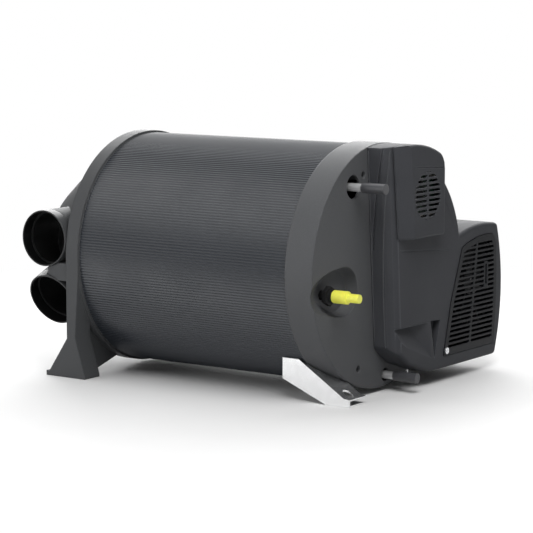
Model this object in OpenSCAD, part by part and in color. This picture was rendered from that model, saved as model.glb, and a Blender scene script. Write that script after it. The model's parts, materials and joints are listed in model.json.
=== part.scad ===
// Caravan water heater: a lying cylinder with an air distributor at the left
// end and a hood with fan, burner and electronics at the right end.
// All sizes are in millimetres. X runs along the cylinder, Z is up.
// Drawing frame: the cylinder's axis is at y = 0, z = 0 and the jacket
// starts at x = 0. place() moves this to the middle of the base.

/* [Body] */
// Radius over the ribs of the jacket
jacket_r = 145; // [143:0.5:148]
// Length of the jacket between rim and ring
jacket_len = 309; // [300:1:330]
// Height of the cylinder's axis above the floor
axis_h = 152.5; // [151:0.5:160]
// How far rim and ring stand out from the jacket
proud = 2.5; // [1.5:0.5:3.5]
// Wall of the moulded shells
wall = 3; // [2:0.5:3.5]
// Number of ribs round the jacket
rib_count = 264; // [120:2:300]
// Depth of the ribs
rib_h = 0.8; // [0.4:0.1:1.2]
// Width of the ring at the hood end
ring_w = 38; // [34:1:42]

/* [Distributor] */
// Width of the rim at the left end
rim_w = 20; // [17:1:22]
// Length of the cone beyond the rim
cone_len = 96.4; // [90:0.2:110]
// Radius of the flat end of the cone
cone_end_r = 60; // [50:1:66]
// Inner radius of the duct collars
duct_r = 33; // [30:0.5:33.5]
// Wall of the duct collars
collar_wall = 2; // [1.5:0.1:2]
// Depth of the duct collars down to the stop
collar_depth = 15; // [12:1:18]
// Height of the upper collars above the cylinder's axis
collar_rise = 19.7; // [18:0.1:24]
// Tilt of the lower collars below the horizontal
collar_tilt = 24; // [22:0.5:27]
// Depth of the moulded feet, front to back
foot_d = 29; // [26:1:34]

/* [Hood] */
// Depth of the hood from the end cover to its end face
hood_d = 32; // [30:0.5:40]
// Depth of the electronics cover on the hood
ecover_d = 14.6; // [13:0.2:18]
// Radius of the hood on the fan side
hood_r = 135; // [130:0.5:138]
// Height of the fan side's floor above the ground
fan_floor = 17; // [14:0.5:20]
// Distance between the slots of the intake grille
slot_pitch = 6; // [5.6:0.1:7]
// Height of one slot of the intake grille
slot_h = 3.4; // [2.4:0.1:3.8]
// Radius of the round vent in the electronics cover
vent_r = 29; // [24:0.5:31]

/* [Pipes] */
// Outer radius of the water pipes
water_r = 5; // [4:0.5:6]
// Outer radius of the gas pipe
gas_r = 4; // [3:0.5:4]
// Wall of the water and gas pipes
pipe_wall = 1; // [0.8:0.1:1.5]
// Length of the caps on the water pipes
cap_len = 32; // [26:1:38]

/* [Flue] */
// Outer radius of the exhaust pipe
exhaust_r = 27.5; // [25:0.5:28]
// Outer radius of the combustion air collar
air_collar_r = 40; // [37:0.5:41]
// How far the exhaust pipe stands out behind the fan box
flue_out = 60; // [50:1:80]

/* [Fans] */
// Radius of the circulation fan
fan_r = 51; // [44:0.5:51.5]
// Number of blades of the circulation fan
fan_blades = 7; // [5:1:9]
// Radius of the combustion blower's wheel
blower_r = 38; // [32:0.5:40]
// Number of blades of the combustion blower
blower_blades = 12; // [8:1:16]

/* [Clearances] */
// Gap between parts that slide apart
slip = 0.3; // [0.3:0.05:0.5]
// Gap between parts of one body that sit in each other
seat = 0.25; // [0.2:0.05:0.4]
// Radial gap of a turning shaft
run = 0.05; // [0.02:0.01:0.08]

/* [Hidden] */
$fn = 64;

// stations along x
x_ring = jacket_len;
x_cover = x_ring + ring_w;
x_hood = x_cover + hood_d;
x_end = x_hood + ecover_d;
x_left = -rim_w - cone_len;
lap = 8;
x_tank0 = 22;
x_tank1 = x_cover - 121;
duct_or = exhaust_r + 6.5;
duct_ir = duct_or - 1.5;
flue_x = x_tank1 + duct_or + 2;
x_man0 = x_tank1 + 2;
x_man1 = flue_x + exhaust_r + 4.5;
x_flange = x_man1 + 5;
x_blow = x_flange + 24;
x_house = x_blow + 5;
x_box = flue_x - air_collar_r - 10;

// radii
ring_r = jacket_r + proud;
in_r = jacket_r - wall;
tank_r = in_r - 17;
bore_r = 66.3;
house_r = bore_r + 5.7;
man_r = house_r - 12;
top_r = ring_r - 0.5;
flue_pad_r = air_collar_r + 6;
leg_y = jacket_r * 0.707;

// floor and the fan side of the hood
floor_z = -axis_h;
fan_z0 = floor_z + fan_floor;
fan_y = ring_r + 28.5;
fan_z = -34.5;
pad_y = fan_y + fan_r + 15;
rear_r = 252.6;
rear_c = [pad_y - 2 - rear_r, fan_z - 13];
top_arc_r = 198;
top_c = [fan_y + 16, fan_z + fan_r + 19.5 - top_arc_r];
box_y = ring_r - 35.5;
hood_tilt = 4;
hood_y = -22;
// low end of the hood's round body, and the middle of the vent above
hood_z = 22 - in_r;
vent_z = top_r - 62.5;
vent_y = 30;
// rounded shoulder at the far end of the hood's top
shoulder_r = 24;
shoulder_z = sqrt(pow(top_r - shoulder_r, 2) - pow(71 - shoulder_r, 2)) + 0.5;
grille_z = fan_z0 + 16;
screw_at = [fan_y - 77, grille_z + 6];

// pipes: [y, z] of each outlet
hot_at = [-62, in_r - 42.6];
cold_at = [11, 8.5 - in_r];
gas_at = [-106.7, -23.8];
bend = 12;
x_pipe = x_end - 7.6;
x_gas = x_cover + 18;
x_rec = x_cover - 15;
x_nut = x_rec + 8;
x_cap = x_nut + 10.7;
x_valve = x_rec - 26;
rec_at = [-80, -21.7];
rec_r = 29;

// flue at the rear
flue_z = -20.5;
y_back = pad_y + flue_out;

// duct collars
collar_or = duct_r + collar_wall;
collar_x = -rim_w - collar_or - slip;
mouth_y = ring_r + 0.5;
low_d = mouth_y - 2.6;
low_z = 35 - collar_or;

// the whole part, centred over its base
x_mid = (x_end + x_left) / 2;
y_mid = (y_back - mouth_y) / 2;

// outlines in [y, z], counter-clockwise
function at_fan(y, z) = [fan_y + y, fan_z + z];
grille_pts = [
    [fan_y - 82, grille_z], [fan_y + 43, grille_z], at_fan(46.5, -40.5), at_fan(48, 4.5),
    at_fan(46, 42.5), at_fan(38, 54.5), at_fan(21, 55.8), at_fan(-3, 54),
    at_fan(-24, 49.7), at_fan(-39, 44.5), at_fan(-65, -19.5)
];

// moves a convex counter-clockwise outline inwards by d
function unit(v) = v / norm(v);
function inward(a, b) = let (u = unit(b - a)) [-u[1], u[0]];
function inset(p, d) = let (n = len(p)) [
    for (i = [0 : n - 1])
        let (m = inward(p[(i + n - 1) % n], p[i]), k = inward(p[i], p[(i + 1) % n]))
            p[i] + d * (m + k) / (1 + m * k)
];

module place() translate([-x_mid, -y_mid, axis_h]) children();

module both_sides() {
    children();
    mirror([0, 1, 0]) children();
}

// round bars along x, y and z, and boxes given by their limits
module xc(r, x0, x1, y = 0, z = 0)
    translate([x0, y, z]) rotate([0, 90, 0]) cylinder(r = r, h = x1 - x0);

module yc(r, y0, y1, x, z)
    translate([x, y0, z]) rotate([-90, 0, 0]) cylinder(r = r, h = y1 - y0);

module zc(r, z0, z1, x, y)
    translate([x, y, z0]) cylinder(r = r, h = z1 - z0);

module bx(x0, x1, y0, y1, z0, z1)
    translate([x0, y0, z0]) cube([x1 - x0, y1 - y0, z1 - z0]);

module xtube(ro, ri, x0, x1, y = 0, z = 0)
    difference() {
        xc(ro, x0, x1, y, z);
        xc(ri, x0 - 1, x1 + 1, y, z);
    }

module ytube(ro, ri, y0, y1, x, z)
    difference() {
        yc(ro, y0, y1, x, z);
        yc(ri, y0 - 1, y1 + 1, x, z);
    }

// an outline in [y, z] drawn out along x, and one in [x, z] along y
module xplate(p, x0, x1)
    translate([x0, 0, 0]) rotate([90, 0, 90]) linear_extrude(x1 - x0) polygon(p);

module yplate(p, y0, y1)
    translate([0, y1, 0]) rotate([90, 0, 0]) linear_extrude(y1 - y0) polygon(p);

// quarter bend of a round bar in the local xy plane
module quarter(r)
    rotate_extrude(angle = 90) translate([bend, 0]) circle(r);

// Distributor

// a bar on the axis of a duct collar: low is 0 for the upper ones, 1 for the
// lower ones; d0 and d1 are depths measured inwards from the mouth
module socket_bar(low, r, d0, d1) {
    if (low == 0)
        yc(r, -mouth_y + d0, -mouth_y + d1, collar_x, collar_rise);
    else
        rotate([collar_tilt, 0, 0]) yc(r, -low_d + d0, -low_d + d1, collar_x, low_z);
}

module cone(i)
    rotate([0, 90, 0]) rotate_extrude() polygon([
        [0, x_left + i], [cone_end_r - i * 0.4, x_left + i],
        [cone_end_r + 8 - i * 0.8, x_left + 4 + i * 0.8],
        [cone_end_r + 15 - i, x_left + 12 + i * 0.5],
        [ring_r - 7 - i, -rim_w], [ring_r - 7 - i, -rim_w + (i > 0 ? rim_w + 1 : 1)],
        [0, -rim_w + (i > 0 ? rim_w + 1 : 1)]
    ]);

// foot at the front, closed to the front and open to the back
module foot() {
    y0 = -ring_r;
    difference() {
        yplate([
            [-rim_w, 0], [-rim_w, floor_z + 49], [-49, floor_z + 6], [-54, floor_z + 6],
            [-54, floor_z], [8, floor_z], [8, floor_z + 3], [-7, floor_z + 51],
            [-1.5, -27], [-1.5, 0]
        ], y0, y0 + foot_d);
        yplate([
            [-rim_w + wall, -70], [-rim_w + wall, floor_z + 52], [-9, floor_z + 52],
            [-6, -70]
        ], y0 + wall, y0 + foot_d + 1);
        yplate([
            [-rim_w + wall, floor_z + 48], [-rim_w - 11, floor_z + 28],
            [-rim_w - 11, floor_z + 5], [2, floor_z + 5], [-9, floor_z + 48]
        ], y0 + wall, y0 + foot_d + 1);
        zc(3, floor_z - 1, floor_z + 7, -43.5, y0 + foot_d / 2);
        zc(6.5, floor_z + 6, floor_z + 40, -43.5, y0 + foot_d / 2);
    }
    // web from the foot up to the rim
    difference() {
        xplate([
            [y0 + 1, floor_z], [y0 + foot_d, floor_z], [-58, floor_z + 17],
            [-58, -100], [y0 + 1, -60]
        ], -rim_w + 5, -rim_w + 8);
        xc(ring_r - 4, -rim_w - 1, 1);
    }
}

module distributor()
    color("#4a4c4f") place() difference() {
        union() {
            cone(0);
            xc(ring_r, -rim_w, 0);
            both_sides() {
                foot();
                socket_bar(0, collar_or, collar_depth, 100);
                socket_bar(1, collar_or, collar_depth, 100);
                bx(collar_x + 4, -rim_w + 1, -ring_r + 3, -100, -32, -10);
            }
        }
        cone(wall);
        both_sides() {
            socket_bar(0, duct_r - 2, collar_depth - 1, 110);
            socket_bar(1, duct_r - 2, collar_depth - 1, 110);
            socket_bar(0, collar_or + seat, -9, collar_depth);
            socket_bar(1, collar_or + seat, -30, collar_depth);
        }
        // shadow groove next to the jacket
        xtube(ring_r + 5, jacket_r - 0.5, -1.2, 1);
    }

module collar(low)
    difference() {
        socket_bar(low, collar_or, 0, collar_depth);
        socket_bar(low, duct_r, -1, collar_depth + 1);
    }

module collar_upper_front() color("#47494c") place() collar(0);
module collar_lower_front() color("#47494c") place() collar(1);
module collar_upper_rear() color("#47494c") place() mirror([0, 1, 0]) collar(0);
module collar_lower_rear() color("#47494c") place() mirror([0, 1, 0]) collar(1);

// Body

function rib_pts() = [
    for (i = [0 : 2 * rib_count - 1])
        let (a = 180 * i / rib_count, r = jacket_r - (i % 2) * rib_h)
            [r * cos(a), r * sin(a)]
];

module jacket()
    color("#3d3f42") place() difference() {
        rotate([90, 0, 90]) linear_extrude(x_ring + lap) difference() {
            polygon(rib_pts());
            circle(in_r, $fn = 360);
        }
        yc(duct_or + slip, 50, 200, flue_x, flue_z);
        rivet_holes();
    }

// screws of the end cover: [angle, distance from the wall's inside]
module cover_boss(r, x0, x1)
    for (p = [[109.65, 23.1], [247.57, 14.3], [62, 14.3]])
        rotate([p[0], 0, 0]) xc(r, x0, x1, in_r - p[1], 0);

// recess round the gas pipe: a round bowl with a flat floor, open to the rim
module scallop(r, x0)
    intersection() {
        translate([x_cover, rec_at[0], rec_at[1]]) {
            sphere(r);
            rotate([0, 0, -66.6]) rotate([0, 90, 0]) cylinder(r = r - 0.2, h = 100);
        }
        bx(x0, x_end, -200, 0, -100, 100);
    }

module end_cover()
    color("#45474a") place() difference() {
        union() {
            difference() {
                xc(ring_r, x_ring, x_cover);
                xc(jacket_r + seat, x_ring - 1, x_ring + lap);
                xc(in_r + 0.5, x_ring, x_cover - wall);
            }
            cover_boss(6.5, x_cover - 23, x_cover - 1);
            intersection() {
                scallop(rec_r + 2.5, x_rec - 2.5);
                xc(ring_r - 1, x_ring + lap, x_cover - 1);
            }
            // posts that carry the gas valve
            for (z = [-34, -13]) xc(3.5, x_valve, x_rec - 1, gas_at[0] + 17, z);
        }
        scallop(rec_r, x_rec);
        cover_boss(4.2, x_cover - 9, x_cover + 1);
        cover_boss(2.2, x_cover - 24, x_cover);
        xc(gas_r + seat, x_rec - 5, x_cover, gas_at[0], gas_at[1]);
        xc(14, x_cover - 9, x_cover + 1, hot_at[0], hot_at[1]);
        xc(water_r + 3, x_cover - 9, x_cover + 1, cold_at[0], cold_at[1]);
        // way through to the hood
        intersection() {
            xc(70, x_cover - 9, x_cover + 1);
            bx(0, x_end, -14, 200, -100, 100);
        }
        // air way from the fan box
        bx(x_ring + 12, x_cover - 6, 60, 200, -92, 22);
    }

module cover_screws()
    color("#2b2c2e") place() {
        cover_boss(3.8, x_cover - 9, x_cover - 5.5);
        cover_boss(2, x_cover - 30, x_cover - 9);
    }

// Foot bracket

module rivet_holes()
    for (a = [-30, 30]) rotate([a, 0, 0])
        zc(2 + seat, -jacket_r - 10, -in_r + 6, x_ring - 20, 0);

module bracket_rivets()
    color("#c9ccd0") place() for (a = [-30, 30]) rotate([a, 0, 0]) {
        zc(2, -jacket_r - 2.3, -in_r + 2, x_ring - 20, 0);
        zc(4, -jacket_r - 4, -jacket_r - 2.3, x_ring - 20, 0);
        zc(3.2, -in_r + seat, -in_r + 2, x_ring - 20, 0);
    }

// front leg: a plate out to the right, a web along its slanted edge, cut back
// round the ring, and a screw tab
module front_leg() {
    yplate([
        [x_ring - 31, -leg_y], [x_ring - 31, floor_z + 25], [x_cover - 8, floor_z],
        [x_cover + 25, floor_z], [x_cover + 25, floor_z + 9], [x_cover + 17, floor_z + 10],
        [x_ring - 8, -leg_y]
    ], -leg_y - 4, -leg_y - 2);
    bx(x_cover, x_cover + 25, -leg_y - 3, -76, floor_z, floor_z + 2);
    difference() {
        yplate([
            [x_ring - 8, -leg_y], [x_ring - 8, -leg_y - 2.4],
            [x_cover + 16.6, floor_z + 8], [x_cover + 25, floor_z + 7],
            [x_cover + 25, floor_z + 9], [x_cover + 17, floor_z + 10]
        ], -leg_y - 3, -70);
        xc(ring_r + 0.6, x_ring - 20, x_cover + 0.6);
    }
}

// rear leg: straight down under the jacket, with a screw tab
module rear_leg() {
    yplate([
        [x_ring - 31, -leg_y], [x_ring - 31, floor_z], [x_ring + 12, floor_z],
        [x_ring + 12, floor_z + 9], [x_ring - 8, -leg_y]
    ], leg_y + 2, leg_y + 4);
    bx(x_ring - 25, x_ring + 12, 76, leg_y + 3, floor_z, floor_z + 2);
}

module foot_bracket()
    color("#d4d7da") place() difference() {
        union() {
            intersection() {
                xtube(jacket_r + 2.3, jacket_r + 0.3, x_ring - 31, x_ring - 8);
                bx(0, x_cover, -200, 200, -200, -leg_y);
            }
            front_leg();
            rear_leg();
        }
        zc(3, floor_z - 1, floor_z + 3, x_cover + 13, -90);
        zc(3, floor_z - 1, floor_z + 3, x_ring - 4, 90);
        // screwdriver's way through the web
        zc(6.5, floor_z + 4, floor_z + 40, x_cover + 13, -90);
        rivet_holes();
    }

// Tank and heat exchanger

module water_tank()
    color("#b9bcc0") place() difference() {
        xc(tank_r, x_tank0, x_tank1);
        xc(bore_r, x_tank0 - 1, x_tank1 + 1);
        xtube(tank_r - 1.5, bore_r + 1.7, x_tank0 + 2, x_tank1 - 2);
        xc(water_r + seat, x_tank1 - 9, x_tank1 + 1, hot_at[0], hot_at[1]);
        xc(water_r + seat, x_tank1 - 9, x_tank1 + 1, cold_at[0], cold_at[1] + 2 * bend);
    }

module spacer(x0)
    translate([x0, 0, 0]) rotate([90, 0, 90]) linear_extrude(8) difference() {
        union() {
            circle(tank_r + 3);
            for (a = [45, 135, 225, 315]) rotate(a)
                translate([tank_r, -4]) square([in_r - 0.4 - tank_r, 8]);
        }
        circle(tank_r + seat);
    }

module tank_spacer_left() color("#2f3133") place() spacer(x_tank0 + 6);
module tank_spacer_right() color("#2f3133") place() spacer(x_tank1 - 14);

module overheat_switch()
    color("#8c6a3f") place() xc(9, x_tank0 - 6, x_tank0, 0, tank_r - 30);

module water_sensor()
    color("#8c8f94") place() xc(5, x_tank1, x_tank1 + 16, 60, in_r - 58);

module heat_exchanger()
    color("#a9adb2") place() {
        translate([x_tank0 + 4, 0, 0]) rotate([90, 0, 90])
            linear_extrude(x_man0 - x_tank0 - 4) difference() {
                union() {
                    circle(44);
                    for (i = [0 : 23]) rotate(i * 15)
                        translate([42, -1]) square([bore_r - seat - 42, 2]);
                }
                circle(40);
            }
        xc(42, x_tank0 + 4, x_tank0 + 7);
    }

// Burner

module burner_housing()
    color("#7d8084") place() difference() {
        xc(house_r, x_tank1, x_house);
        xc(house_r - 1.5, x_tank1 + 2, x_house - 2);
        xc(bore_r, x_tank1 - 1, x_tank1 + 3);
        xc(20.5, x_house - 3, x_house + 1, 22, 0);
        yc(duct_or + seat, 20, 90, flue_x, flue_z);
        yc(3 + seat, -house_r - 18, -20, x_valve - 14, gas_at[1]);
    }

module electrode_bars(r, x0, x1)
    for (s = [-1, 1]) xc(r, x0, x1, -45, 26 * s);

module exhaust_manifold()
    color("#8a8d91") place() difference() {
        xc(man_r, x_man0, x_man1);
        xc(man_r - 1.5, x_man0 + 2, x_man1 - 2);
        xc(40, x_man0 - 1, x_man0 + 3);
        xc(24 + seat, x_man1 - 3, x_man1 + 1);
        yc(exhaust_r + seat, 10, 90, flue_x, flue_z);
        electrode_bars(4 + seat, x_man1 - 3, x_man1 + 1);
    }

module burner_tube()
    color("#6f7276") place() difference() {
        xc(24, x_tank0 + 78, x_man1);
        xc(22.5, x_tank0 + 77, x_man1 + 1);
        for (i = [0 : 8]) rotate([60 * i, 0, 0])
            zc(3, -30, 30, x_tank0 + 88 + 10 * i, 0);
    }

module burner_flange()
    color("#9a9da1") place() difference() {
        xc(man_r + 2, x_man1, x_flange);
        xc(16, x_man1 - 1, x_flange + 1);
        electrode_bars(4 + seat, x_man1 - 1, x_flange + 1);
    }

module electrode(z) {
    xc(4, x_man0 + 24, x_flange + 17, -45, z);
    xc(1, x_man0 + 8, x_man0 + 25, -45, z);
    xc(1.5, x_flange + 16, x_flange + 24, -45, z);
}

module igniter_electrode() color("#e6e2d8") place() electrode(26);
module flame_electrode() color("#e6e2d8") place() electrode(-26);

module blower_scroll()
    color("#9b9ea2") place() difference() {
        xc(46, x_flange, x_blow, 22, 0);
        xc(44, x_flange + 2, x_blow - 2, 22, 0);
        xc(16, x_flange - 1, x_flange + 3);
        xc(12, x_blow - 3, x_blow + 1, 22, 0);
    }

module blower_motor()
    color("#5b5e62") place() difference() {
        xc(20, x_blow, x_blow + 33, 22, 0);
        xc(2.5 + run, x_blow - 1, x_blow + 24, 22, 0);
    }

module blower_shaft()
    color("#c2c5c9") place() xc(2.5, x_flange + 3.5, x_blow + 23, 22, 0);

module blower_wheel()
    color("#3a3c3f") place() translate([0, 22, 0]) difference() {
        union() {
            xc(blower_r, x_flange + 3.5, x_flange + 5.5);
            xc(9, x_flange + 3.5, x_flange + 19);
            for (i = [0 : blower_blades - 1]) rotate([360 * i / blower_blades, 0, 0])
                bx(x_flange + 5, x_flange + 18, -1, 1, 20, blower_r - 0.1);
        }
        xc(2.5 + run, x_flange, x_blow);
    }

// Flue at the rear

module exhaust_pipe()
    color("#b4b7bb") place() difference() {
        union() {
            yc(exhaust_r, 30, y_back, flue_x, flue_z);
            // bead that stops the exhaust hose
            yc(exhaust_r + 1, y_back - 22, y_back - 20, flue_x, flue_z);
        }
        yc(exhaust_r - 1.2, 29, y_back + 1, flue_x, flue_z);
        xc(man_r - 1.5, x_man0, x_man1 + 20);
    }

module air_duct()
    color("#54575a") place() difference() {
        ytube(duct_or, duct_ir, 40, pad_y, flue_x, flue_z);
        xc(house_r - 1.5, x_tank1 - 20, x_house);
    }

module flue_seal()
    color("#1d1e1f") place() ytube(flue_pad_r, duct_or - 0.5, pad_y, pad_y + 2, flue_x, flue_z);

module flue_collar()
    color("#47494c") place() difference() {
        union() {
            yc(flue_pad_r, pad_y + 2, pad_y + 6, flue_x, flue_z);
            yc(air_collar_r, pad_y + 2, y_back - 20, flue_x, flue_z);
        }
        yc(air_collar_r - 2.5, pad_y + 1, y_back, flue_x, flue_z);
    }

// Gas train

module gas_valve()
    color("#a3a6aa") place() difference() {
        bx(x_valve - 28, x_valve, gas_at[0] - 9.3, -house_r - 12, gas_at[1] - 18, gas_at[1] + 18);
        xc(gas_r + seat, x_valve - 10, x_valve + 1, gas_at[0], gas_at[1]);
        yc(3 + seat, -house_r - 22, -house_r - 11, x_valve - 14, gas_at[1]);
    }

module gas_coils()
    color("#2c3a55") place() for (z = [-9, 9])
        xc(8, x_valve - 50, x_valve - 28, gas_at[0] + 7.7, gas_at[1] + z);

module gas_feed()
    color("#b08d4e") place()
        ytube(3, 2, -house_r - 20, 5.5 - house_r, x_valve - 14, gas_at[1]);

module gas_pipe()
    color("#cfd2d5") place()
        xtube(gas_r, gas_r - pipe_wall, x_valve - 9, x_gas, gas_at[0], gas_at[1]);

// seat of the cap: a round root, a hexagon nut and a neck
module gas_seat()
    color("#1f2021") place() translate([0, gas_at[0], gas_at[1]]) difference() {
        union() {
            xc(5.5, x_rec, x_nut + 1);
            xplate([for (a = [30 : 60 : 330]) 12 * [cos(a), sin(a)]], x_nut, x_nut + 6);
            xc(7.7, x_nut + 5, x_cap - slip);
        }
        xc(gas_r + seat, x_rec - 1, x_end);
    }

module gas_cap()
    color("#e3e04f") place() difference() {
        union() {
            xc(7.7, x_cap, x_cap + 19.4, gas_at[0], gas_at[1]);
            xc(5.3, x_cap + 18, x_cap + 35.3, gas_at[0], gas_at[1]);
        }
        xc(gas_r + slip, x_cap - 1, x_gas + 1, gas_at[0], gas_at[1]);
    }

// Water pipes and their caps

module hot_pipe()
    color("#cfd2d5") place()
        xtube(water_r, water_r - pipe_wall, x_tank1 - 8, x_pipe, hot_at[0], hot_at[1]);

module water_cap(p)
    difference() {
        xc(water_r + 1.3, x_end - 1 - cap_len, x_end - 1, p[0], p[1]);
        xc(water_r + slip, x_end - 2 - cap_len, x_pipe + 1, p[0], p[1]);
    }

module hot_cap() color("#505356") place() water_cap(hot_at);

// the cold pipe leaves the tank higher up and drops to its outlet
module cold_run(r, e) {
    x0 = x_tank1 + 14;
    z0 = cold_at[1] + 2 * bend;
    xc(r, x_tank1 - 8 - e, x0, cold_at[0], z0);
    translate([x0, cold_at[0], z0 - bend]) rotate([90, 0, 0]) quarter(r);
    translate([x0 + 2 * bend, cold_at[0], z0 - bend])
        rotate([90, 0, 0]) rotate([0, 0, 180]) quarter(r);
    xc(r, x0 + 2 * bend, x_pipe + e, cold_at[0], cold_at[1]);
}

module cold_pipe()
    color("#cfd2d5") place() difference() {
        cold_run(water_r, 0);
        cold_run(water_r - pipe_wall, 1);
    }

module cold_cap() color("#505356") place() water_cap(cold_at);

// Hood

// block behind the slanted front wall, with a broken front edge
module front_block(i)
    rotate([hood_tilt, 0, 0]) translate([0, 0, -300]) linear_extrude(600) polygon(inset([
        [x_cover - 5, hood_y], [x_hood - 13, hood_y], [x_hood - 4.5, hood_y + 4.5],
        [x_hood, hood_y + 12],
        [x_hood, 300], [x_cover - 5, 300]
    ], i));

// the fan side's outline in [y, z], right of y0, drawn i inside the outer skin
module fan_outline(i, y0)
    intersection() {
        translate(rear_c) circle(rear_r - i);
        translate(top_c) circle(top_arc_r - i);
        translate([y0 + i, fan_z0 + i]) square([500, 500]);
    }

module fan_form(i, x0, x1, y0)
    translate([x0, 0, 0]) rotate([90, 0, 90]) linear_extrude(x1 - x0) fan_outline(i, y0);

// round top in [y, z] above z0, with a rounded shoulder at its end y1
module top_outline(i, y1, z0)
    intersection() {
        circle(top_r - i);
        translate([-300, z0 + i]) square([300 + y1 - i, 400]);
        union() {
            translate([-300, -300]) square([283 + y1, 700]);
            translate([-300, -300]) square([700, 300 + shoulder_z]);
            translate([y1 - shoulder_r + 0.2, shoulder_z]) circle(shoulder_r - i);
        }
    }

// the hood's outline in [y, z]: round body, higher top and fan side
module hood_outline(i) {
    intersection() {
        union() {
            circle(hood_r - i);
            translate([20, fan_z0 + i]) square([60, 100]);
        }
        translate([25, hood_z - 3]) rotate(-17.4) translate([-400, i]) square([800, 500]);
        // cut corner at the foot of the front wall
        translate([hood_y + 7, hood_z + 22]) rotate(-36.9) translate([-400, i]) square([800, 500]);
    }
    top_outline(i, 72, top_r - 111);
    fan_outline(i, 66);
}

// the hood, drawn i inside its outer skin
module hood_form(i)
    intersection() {
        translate([x_cover - (i > 0 ? 1 : 0), 0, 0]) rotate([90, 0, 90])
            linear_extrude(hood_d + 5) hood_outline(i);
        front_block(i);
    }

// hollow that deepens by k for each mm past a line through [y, z] at angle a
module scoop(y, z, a, k)
    translate([x_hood, y, z]) rotate([a, 0, 0])
        yplate([[0.5, 0], [0.5, 100], [-100 * k, 100]], -120, 120);

// hand recess at the lower left of the end face
module hand_recess()
    intersection() {
        scoop(20, hood_z + 17, -20, 0.4);
        scoop(0, hood_z + 26.5, -30, 0.5);
        scoop(60, hood_z + 47, 99.5, 0.35);
        bx(0, 600, -17, 66, hood_z - 80, hood_z + 47);
    }

module hood()
    color("#3b3d40") place() difference() {
        union() {
            difference() {
                hood_form(0);
                hood_form(wall);
            }
            intersection() {
                hood_form(0.5);
                union() {
                    bx(x_hood - 15, x_hood - 1, -16, 92, hood_z - 6, hood_z + 54);
                    xplate(inset(grille_pts, -3), x_hood - wall - 3, x_hood - 1);
                    xc(5, x_hood - 19, x_hood - 1, screw_at[0], screw_at[1]);
                }
            }
            // closes the back beside the ring
            difference() {
                fan_form(0, x_cover, x_cover + wall, 66);
                bx(0, 600, box_y + 4, 600, -300, 300);
                xc(ring_r - 2, 0, x_end);
            }
        }
        hand_recess();
        // wedge-shaped slot beside the hand recess
        xplate([[63, hood_z + 48], [73.5, hood_z + 0.5], [86, hood_z + 46.5]],
            x_hood - 10, x_hood + 1);
        xplate(inset(grille_pts, -0.4), x_hood - wall, x_hood + 1);
        difference() {
            xplate(inset(grille_pts, 4), x_hood - wall - 4, x_hood);
            xc(5, x_hood - 19, x_hood, screw_at[0], screw_at[1]);
        }
        xc(1.9 + slip, x_hood - 20, x_hood, screw_at[0], screw_at[1]);
        // wire way to the control board
        bx(x_hood - 6, x_hood + 1, vent_y - 18, vent_y + 22, vent_z - 44.5, vent_z - 38.5);
    }

module fan_box()
    color("#3b3d40") place() difference() {
        union() {
            fan_form(0, x_box, x_cover, box_y);
            yc(flue_pad_r, pad_y - 25, pad_y, flue_x, flue_z);
        }
        difference() {
            fan_form(wall, x_box + wall, x_cover + 1, box_y);
            xc(ring_r + seat + wall, 0, x_end);
        }
        xc(ring_r + seat, 0, x_end);
        yc(duct_or + seat, 60, pad_y + 1, flue_x, flue_z);
        bx(x_ring + 12, x_cover - 6, 60, ring_r + 10.5, -92, 22);
    }

module ignition_module()
    color("#26282a") place() bx(x_cover, x_cover + 21, 72, 104, 33, 66);

// Circulation fan

module fan_shroud()
    color("#3f4144") place() translate([0, fan_y, fan_z]) difference() {
        union() {
            xtube(fan_r + 5, fan_r + 2.5, x_cover + 3, x_hood - wall - 3);
            xc(26, x_cover, x_cover + 5);
            for (a = [30, 150, 270]) rotate([a, 0, 0])
                bx(x_cover + 3, x_cover + 6, -4, 4, 20, fan_r + 3.5);
        }
        xc(5, x_cover - 1, x_cover + 7);
    }

module fan_motor()
    color("#5b5e62") place() difference() {
        xc(24, x_cover - 27, x_cover, fan_y, fan_z);
        xc(3 + run, x_cover - 22, x_cover + 1, fan_y, fan_z);
    }

module fan_shaft()
    color("#c2c5c9") place() xc(3, x_cover - 21, x_hood - 8, fan_y, fan_z);

module fan_wheel() {
    x0 = x_cover + 8;
    x1 = x_hood - 8;
    color("#2a2b2d") place() translate([0, fan_y, fan_z]) difference() {
        union() {
            xc(20, x0, x1);
            intersection() {
                xc(fan_r, x0, x1);
                for (i = [0 : fan_blades - 1]) rotate([360 * i / fan_blades, 0, 0])
                    translate([(x0 + x1) / 2, 0, 0]) rotate([0, 0, 42])
                        bx(-12, 12, -1, 1, 16, 60);
            }
        }
        xc(3 + run, x0 - 1, x1 + 1);
    }
}

// Electronics

module board_carrier()
    color("#d8d6cc") place() {
        bx(x_hood, x_hood + 2, vent_y - 25, vent_y + 29, vent_z - 34.5, vent_z + 43.5);
        for (y = [-21, 25]) for (z = [-30.5, 39.5])
            xc(3, x_hood + 1, x_hood + 4, vent_y + y, vent_z + z);
    }

module control_board()
    color("#1f5a3a") place() translate([x_hood + 4, vent_y, vent_z]) bx(0, 1.6, -24, 28, -33.5, 42.5);

module board_connectors()
    color("#e2e0d6") place() translate([x_hood + 5.6, vent_y, vent_z]) {
        bx(0, 4.4, -20, -4, -30.5, -22.5);
        bx(0, 4.4, 0, 22, -30.5, -22.5);
        bx(0, 3.4, 8, 24, 19.5, 37.5);
    }

// cover on the hood: slanted front wall, round top, drawn i inside its skin
module ecover_form(i)
    intersection() {
        rotate([6, 0, 0]) translate([0, 0, -300]) linear_extrude(600) polygon([
            [x_hood + slip - (i > 0 ? 1 : 0), -11 + i * 1.5], [x_end - i, 6 + i],
            [x_end - i, 200], [x_hood + slip - (i > 0 ? 1 : 0), 200]
        ]);
        translate([x_hood - 1, 0, 0]) rotate([90, 0, 90])
            linear_extrude(ecover_d + 1 - i) top_outline(i, 71, vent_z - 50);
    }

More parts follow.
